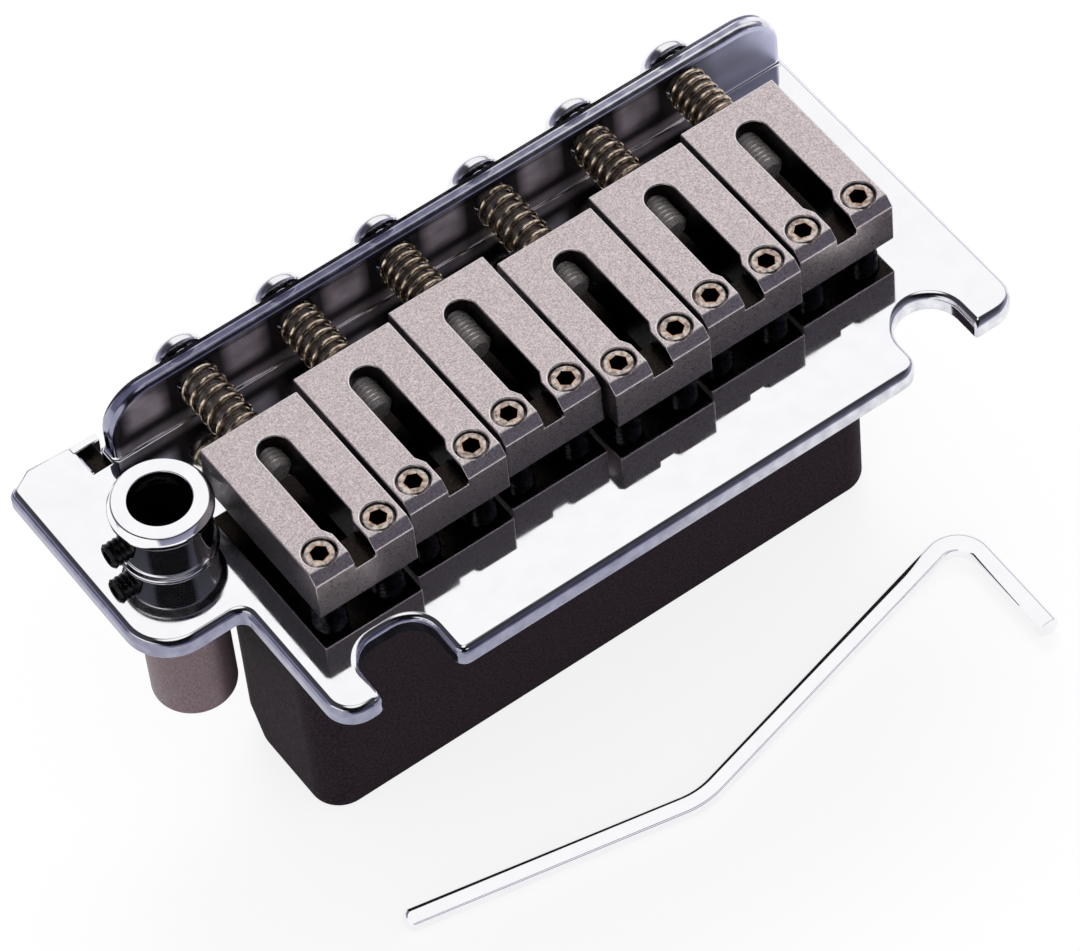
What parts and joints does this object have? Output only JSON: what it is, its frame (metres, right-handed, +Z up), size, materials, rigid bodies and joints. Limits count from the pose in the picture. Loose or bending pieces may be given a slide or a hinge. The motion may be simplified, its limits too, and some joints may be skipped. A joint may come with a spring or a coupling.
{
  "type": "guitar tremolo bridge",
  "caption": "Guitar tremolo bridge: bent chrome plate with block saddles on sprung screws, a black sustain block below, an arm socket and a loose bent arm.",
  "frame": {"origin": "on the bottom face of the sustain block, midway across the strings", "axes": "+X towards the bass side, +Y towards the rear flange and away from the neck, +Z up"},
  "size_m": [0.0815, 0.0489, 0.0437],
  "materials": {
    "plate_chrome": "mirror polish",
    "arm_chrome": "mirror polish",
    "screw_chrome": "bright plated",
    "screw_steel": "dark oiled steel",
    "spring_steel": "drawn wire",
    "saddle_satin": "bead-blasted satin",
    "block_black": "satin black",
    "sleeve_grey": "satin",
    "bush_plastic": "moulded"
  },
  "bodies": {
    "frame": {"base_plate": "plate_chrome", "sustain_block": "block_black", "arm_collar": "plate_chrome", "tension_screw": "screw_steel", "socket_sleeve": "sleeve_grey", "arm_bush": "bush_plastic"},
    "arm": {"tremolo_arm": "arm_chrome"},
    "link_1": {"intonation_spring_1": "spring_steel"},
    "screw_1": {"intonation_screw_1": "screw_chrome"},
    "saddle_1": {"saddle_1": "saddle_satin"},
    "height_1a": {"height_screw_1a": "screw_steel"},
    "height_1b": {"height_screw_1b": "screw_steel"},
    "link_2": {"intonation_spring_2": "spring_steel"},
    "screw_2": {"intonation_screw_2": "screw_chrome"},
    "saddle_2": {"saddle_2": "saddle_satin"},
    "height_2a": {"height_screw_2a": "screw_steel"},
    "height_2b": {"height_screw_2b": "screw_steel"},
    "link_3": {"intonation_spring_3": "spring_steel"},
    "screw_3": {"intonation_screw_3": "screw_chrome"},
    "saddle_3": {"saddle_3": "saddle_satin"},
    "height_3a": {"height_screw_3a": "screw_steel"},
    "height_3b": {"height_screw_3b": "screw_steel"},
    "link_4": {"intonation_spring_4": "spring_steel"},
    "screw_4": {"intonation_screw_4": "screw_chrome"},
    "saddle_4": {"saddle_4": "saddle_satin"},
    "height_4a": {"height_screw_4a": "screw_steel"},
    "height_4b": {"height_screw_4b": "screw_steel"},
    "link_5": {"intonation_spring_5": "spring_steel"},
    "screw_5": {"intonation_screw_5": "screw_chrome"},
    "saddle_5": {"saddle_5": "saddle_satin"},
    "height_5a": {"height_screw_5a": "screw_steel"},
    "height_5b": {"height_screw_5b": "screw_steel"},
    "link_6": {"intonation_spring_6": "spring_steel"},
    "screw_6": {"intonation_screw_6": "screw_chrome"},
    "saddle_6": {"saddle_6": "saddle_satin"},
    "height_6a": {"height_screw_6a": "screw_steel"},
    "height_6b": {"height_screw_6b": "screw_steel"}
  },
  "joints": [
    {"name": "arm_draw", "type": "slide", "parent": "frame", "child": "arm", "axis": [0, -1, 0], "range_m": [0, 0.1]},
    {"name": "saddle_1_tilt", "type": "hinge", "parent": "frame", "child": "link_1", "pos_m": [-0.02625, 0.01585, 0.0407], "axis": [-1, 0, 0], "range_deg": [-0.4, 2.3]},
    {"name": "screw_1_turn", "type": "hinge", "parent": "link_1", "child": "screw_1", "pos_m": [-0.02625, 0.01585, 0.0407], "axis": [0, -1, 0], "range_deg": [-1289.8, 3176.2]},
    {"name": "saddle_1_slide", "type": "slide", "parent": "link_1", "child": "saddle_1", "axis": [0, 1, 0], "range_m": [-0.00179, 0.00441], "deforming": ["intonation_spring_1"]},
    {"name": "height_1a_reach", "type": "slide", "parent": "saddle_1", "child": "height_1a", "axis": [0, 0, 1], "range_m": [-0.00081991, 0.00014342]},
    {"name": "height_1b_reach", "type": "slide", "parent": "saddle_1", "child": "height_1b", "axis": [0, 0, 1], "range_m": [-0.00081991, 0.00014342]},
    {"name": "saddle_2_tilt", "type": "hinge", "parent": "frame", "child": "link_2", "pos_m": [-0.01575, 0.01585, 0.0407], "axis": [-1, 0, 0], "range_deg": [-0.4, 2.3]},
    {"name": "screw_2_turn", "type": "hinge", "parent": "link_2", "child": "screw_2", "pos_m": [-0.01575, 0.01585, 0.0407], "axis": [0, -1, 0], "range_deg": [-2168.2, 2297.8]},
    {"name": "saddle_2_slide", "type": "slide", "parent": "link_2", "child": "saddle_2", "axis": [0, 1, 0], "range_m": [-0.00301, 0.00319], "deforming": ["intonation_spring_2"]},
    {"name": "height_2a_reach", "type": "slide", "parent": "saddle_2", "child": "height_2a", "axis": [0, 0, 1], "range_m": [-0.00081991, 0.00014342]},
    {"name": "height_2b_reach", "type": "slide", "parent": "saddle_2", "child": "height_2b", "axis": [0, 0, 1], "range_m": [-0.00081991, 0.00014342]},
    {"name": "saddle_3_tilt", "type": "hinge", "parent": "frame", "child": "link_3", "pos_m": [-0.00525, 0.01585, 0.0407], "axis": [-1, 0, 0], "range_deg": [-0.4, 2.3]},
    {"name": "screw_3_turn", "type": "hinge", "parent": "link_3", "child": "screw_3", "pos_m": [-0.00525, 0.01585, 0.0407], "axis": [0, -1, 0], "range_deg": [-2729.8, 1736.2]},
    {"name": "saddle_3_slide", "type": "slide", "parent": "link_3", "child": "saddle_3", "axis": [0, 1, 0], "range_m": [-0.00379, 0.00241], "deforming": ["intonation_spring_3"]},
    {"name": "height_3a_reach", "type": "slide", "parent": "saddle_3", "child": "height_3a", "axis": [0, 0, 1], "range_m": [-0.00081991, 0.00014342]},
    {"name": "height_3b_reach", "type": "slide", "parent": "saddle_3", "child": "height_3b", "axis": [0, 0, 1], "range_m": [-0.00081991, 0.00014342]},
    {"name": "saddle_4_tilt", "type": "hinge", "parent": "frame", "child": "link_4", "pos_m": [0.00525, 0.01585, 0.0407], "axis": [-1, 0, 0], "range_deg": [-0.4, 2.3]},
    {"name": "screw_4_turn", "type": "hinge", "parent": "link_4", "child": "screw_4", "pos_m": [0.00525, 0.01585, 0.0407], "axis": [0, -1, 0], "range_deg": [-1657, 2809]},
    {"name": "saddle_4_slide", "type": "slide", "parent": "link_4", "child": "saddle_4", "axis": [0, 1, 0], "range_m": [-0.0023, 0.0039], "deforming": ["intonation_spring_4"]},
    {"name": "height_4a_reach", "type": "slide", "parent": "saddle_4", "child": "height_4a", "axis": [0, 0, 1], "range_m": [-0.00081991, 0.00014342]},
    {"name": "height_4b_reach", "type": "slide", "parent": "saddle_4", "child": "height_4b", "axis": [0, 0, 1], "range_m": [-0.00081991, 0.00014342]},
    {"name": "saddle_5_tilt", "type": "hinge", "parent": "frame", "child": "link_5", "pos_m": [0.01575, 0.01585, 0.0407], "axis": [-1, 0, 0], "range_deg": [-0.4, 2.3]},
    {"name": "screw_5_turn", "type": "hinge", "parent": "link_5", "child": "screw_5", "pos_m": [0.01575, 0.01585, 0.0407], "axis": [0, -1, 0], "range_deg": [-2348.2, 2117.8]},
    {"name": "saddle_5_slide", "type": "slide", "parent": "link_5", "child": "saddle_5", "axis": [0, 1, 0], "range_m": [-0.00326, 0.00294], "deforming": ["intonation_spring_5"]},
    {"name": "height_5a_reach", "type": "slide", "parent": "saddle_5", "child": "height_5a", "axis": [0, 0, 1], "range_m": [-0.00081991, 0.00014342]},
    {"name": "height_5b_reach", "type": "slide", "parent": "saddle_5", "child": "height_5b", "axis": [0, 0, 1], "range_m": [-0.00081991, 0.00014342]},
    {"name": "saddle_6_tilt", "type": "hinge", "parent": "frame", "child": "link_6", "pos_m": [0.02625, 0.01585, 0.0407], "axis": [-1, 0, 0], "range_deg": [-0.4, 2.3]},
    {"name": "screw_6_turn", "type": "hinge", "parent": "link_6", "child": "screw_6", "pos_m": [0.02625, 0.01585, 0.0407], "axis": [0, -1, 0], "range_deg": [-2845, 1621]},
    {"name": "saddle_6_slide", "type": "slide", "parent": "link_6", "child": "saddle_6", "axis": [0, 1, 0], "range_m": [-0.00395, 0.00225], "deforming": ["intonation_spring_6"]},
    {"name": "height_6a_reach", "type": "slide", "parent": "saddle_6", "child": "height_6a", "axis": [0, 0, 1], "range_m": [-0.00081991, 0.00014342]},
    {"name": "height_6b_reach", "type": "slide", "parent": "saddle_6", "child": "height_6b", "axis": [0, 0, 1], "range_m": [-0.00081991, 0.00014342]}
  ],
  "couplings": [
    {"joint": "screw_1_turn", "follows": "saddle_1_slide", "rad_per_m": 12566},
    {"joint": "height_1a_reach", "follows": "saddle_1_tilt", "m_per_rad": -0.0204},
    {"joint": "height_1b_reach", "follows": "saddle_1_tilt", "m_per_rad": -0.0204},
    {"joint": "screw_2_turn", "follows": "saddle_2_slide", "rad_per_m": 12566},
    {"joint": "height_2a_reach", "follows": "saddle_2_tilt", "m_per_rad": -0.0204},
    {"joint": "height_2b_reach", "follows": "saddle_2_tilt", "m_per_rad": -0.0204},
    {"joint": "screw_3_turn", "follows": "saddle_3_slide", "rad_per_m": 12566},
    {"joint": "height_3a_reach", "follows": "saddle_3_tilt", "m_per_rad": -0.0204},
    {"joint": "height_3b_reach", "follows": "saddle_3_tilt", "m_per_rad": -0.0204},
    {"joint": "screw_4_turn", "follows": "saddle_4_slide", "rad_per_m": 12566},
    {"joint": "height_4a_reach", "follows": "saddle_4_tilt", "m_per_rad": -0.0204},
    {"joint": "height_4b_reach", "follows": "saddle_4_tilt", "m_per_rad": -0.0204},
    {"joint": "screw_5_turn", "follows": "saddle_5_slide", "rad_per_m": 12566},
    {"joint": "height_5a_reach", "follows": "saddle_5_tilt", "m_per_rad": -0.0204},
    {"joint": "height_5b_reach", "follows": "saddle_5_tilt", "m_per_rad": -0.0204},
    {"joint": "screw_6_turn", "follows": "saddle_6_slide", "rad_per_m": 12566},
    {"joint": "height_6a_reach", "follows": "saddle_6_tilt", "m_per_rad": -0.0204},
    {"joint": "height_6b_reach", "follows": "saddle_6_tilt", "m_per_rad": -0.0204}
  ]
}
